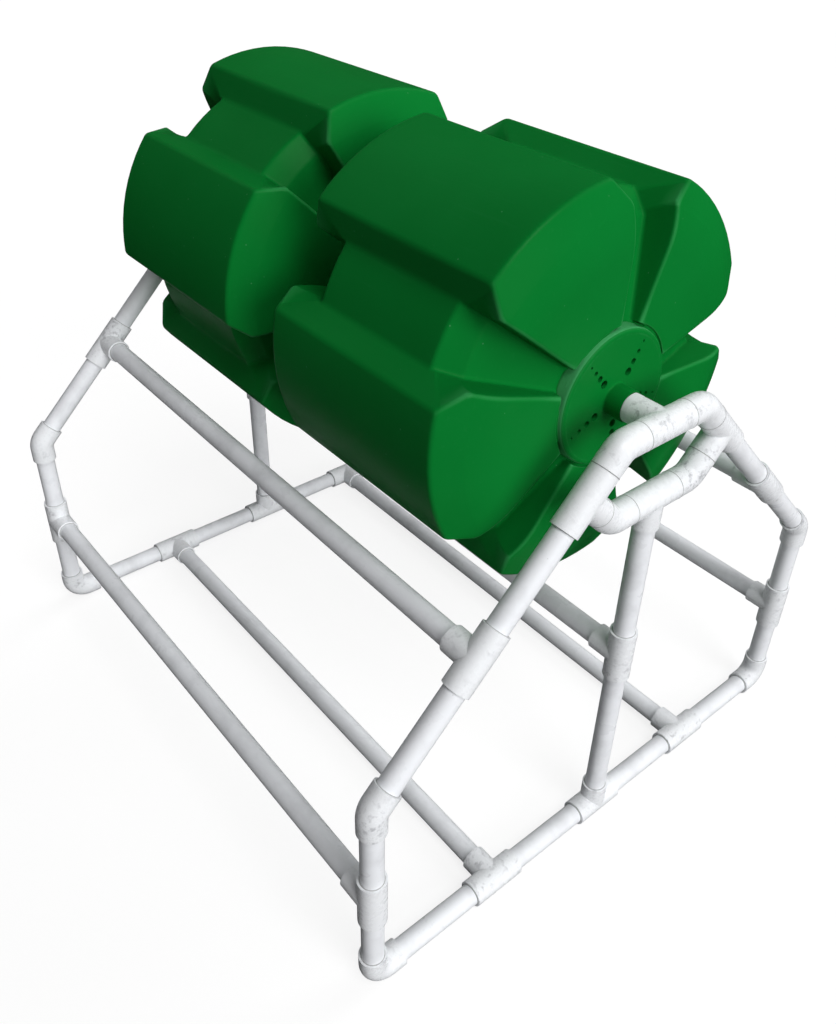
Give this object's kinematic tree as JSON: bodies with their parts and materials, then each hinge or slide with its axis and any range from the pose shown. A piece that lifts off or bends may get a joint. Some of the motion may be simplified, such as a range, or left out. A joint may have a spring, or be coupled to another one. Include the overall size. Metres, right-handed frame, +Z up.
{
  "type": "compost tumbler",
  "caption": "Free-standing rotary composter: lobed plastic drums with sliding loading doors spin side by side on a pipe axle in a glued white pipe stand.",
  "frame": {"origin": "centre of the stand's footprint on the floor", "axes": "+X along the axle towards the near end panel, +Y from the front legs to the rear legs, +Z up"},
  "size_m": [1.092, 0.982, 1.0765],
  "materials": {
    "drum_polyethylene": "satin, rotationally moulded",
    "door_polyethylene": "satin, moulded",
    "rail_polyethylene": "satin, extruded",
    "white_pvc_pipe": "smooth extruded pipe, lightly scuffed",
    "white_pvc_fitting": "smooth moulded fitting",
    "washer_plastic": "plain moulded plastic"
  },
  "bodies": {
    "stand": {"axle_collars": "white_pvc_fitting", "axle_pipe": "white_pvc_pipe", "centre_stringer": "white_pvc_pipe", "far_axle_tee": "white_pvc_fitting", "far_base_pipe": "white_pvc_pipe", "far_base_tees": "white_pvc_fitting", "far_corner_elbows": "white_pvc_fitting", "far_cross_tee": "white_pvc_fitting", "far_leg_elbows": "white_pvc_fitting", "far_leg_pipes": "white_pvc_pipe", "far_leg_tees": "white_pvc_fitting", "far_low_elbows": "white_pvc_fitting", "far_post_pipe": "white_pvc_pipe", "far_post_tee": "white_pvc_fitting", "far_ring_nipples": "white_pvc_pipe", "far_ring_tees": "white_pvc_fitting", "far_slope_pipes": "white_pvc_pipe", "far_slope_tees": "white_pvc_fitting", "far_top_elbows": "white_pvc_fitting", "front_base_stringer": "white_pvc_pipe", "front_high_stringer": "white_pvc_pipe", "front_low_stringer": "white_pvc_pipe", "near_axle_tee": "white_pvc_fitting", "near_base_pipe": "white_pvc_pipe", "near_base_tees": "white_pvc_fitting", "near_corner_elbows": "white_pvc_fitting", "near_cross_tee": "white_pvc_fitting", "near_leg_elbows": "white_pvc_fitting", "near_leg_pipes": "white_pvc_pipe", "near_leg_tees": "white_pvc_fitting", "near_low_elbows": "white_pvc_fitting", "near_post_pipe": "white_pvc_pipe", "near_post_tee": "white_pvc_fitting", "near_ring_nipples": "white_pvc_pipe", "near_ring_tees": "white_pvc_fitting", "near_slope_pipes": "white_pvc_pipe", "near_slope_tees": "white_pvc_fitting", "near_top_elbows": "white_pvc_fitting", "rear_base_stringer": "white_pvc_pipe", "rear_high_stringer": "white_pvc_pipe", "rear_low_stringer": "white_pvc_pipe", "thrust_washer": "washer_plastic"},
    "near_drum_body": {"near_drum": "drum_polyethylene", "near_door_rails": "rail_polyethylene"},
    "far_drum_body": {"far_drum": "drum_polyethylene", "far_door_rails": "rail_polyethylene"},
    "near_door_body": {"near_door": "door_polyethylene"},
    "far_door_body": {"far_door": "door_polyethylene"}
  },
  "joints": [
    {"name": "near_drum_spin", "type": "hinge", "parent": "stand", "child": "near_drum_body", "pos_m": [0.236, 0, 0.7815], "axis": [1, 0, 0], "continuous": true},
    {"name": "far_drum_spin", "type": "hinge", "parent": "stand", "child": "far_drum_body", "pos_m": [-0.236, 0, 0.7815], "axis": [1, 0, 0], "continuous": true},
    {"name": "near_door_slide", "type": "slide", "parent": "near_drum_body", "child": "near_door_body", "axis": [1, 0, 0], "range_m": [0, 0.146]},
    {"name": "far_door_slide", "type": "slide", "parent": "far_drum_body", "child": "far_door_body", "axis": [1, 0, 0], "range_m": [0, 0.146]}
  ]
}
